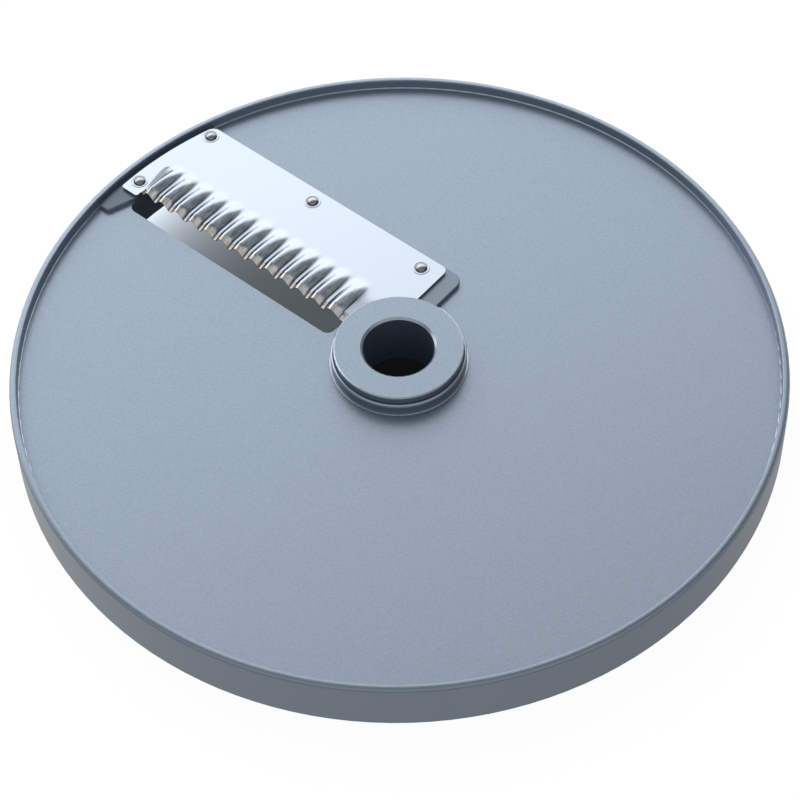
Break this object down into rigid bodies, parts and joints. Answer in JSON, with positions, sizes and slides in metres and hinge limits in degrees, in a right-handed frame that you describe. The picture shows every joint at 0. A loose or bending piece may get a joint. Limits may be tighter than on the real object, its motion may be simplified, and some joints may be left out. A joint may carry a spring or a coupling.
{
  "type": "food processor disc",
  "caption": "Round slicing disc for a food processor: rimmed plate with a stepped shaft hub, a throat slot and a riveted corrugated blade that cuts ripple slices.",
  "frame": {"origin": "shaft axis at the foot of the rim, where the disc stands on a table", "axes": "+Z along the shaft axis, up out of the cutting side; +X along the cutting edge, from the hub to the rim; +Y the way the blade travels"},
  "size_m": [0.205, 0.205, 0.0176],
  "materials": {
    "coated_casting": "fine satin bluish-grey coating",
    "blade_steel": "polished stainless sheet with a ground cutting bevel",
    "rivet_steel": "plain steel, slightly dull"
  },
  "bodies": {
    "root": {"disc_body": "coated_casting", "corrugated_blade": "blade_steel", "blade_rivets": "rivet_steel"}
  },
  "joints": []
}
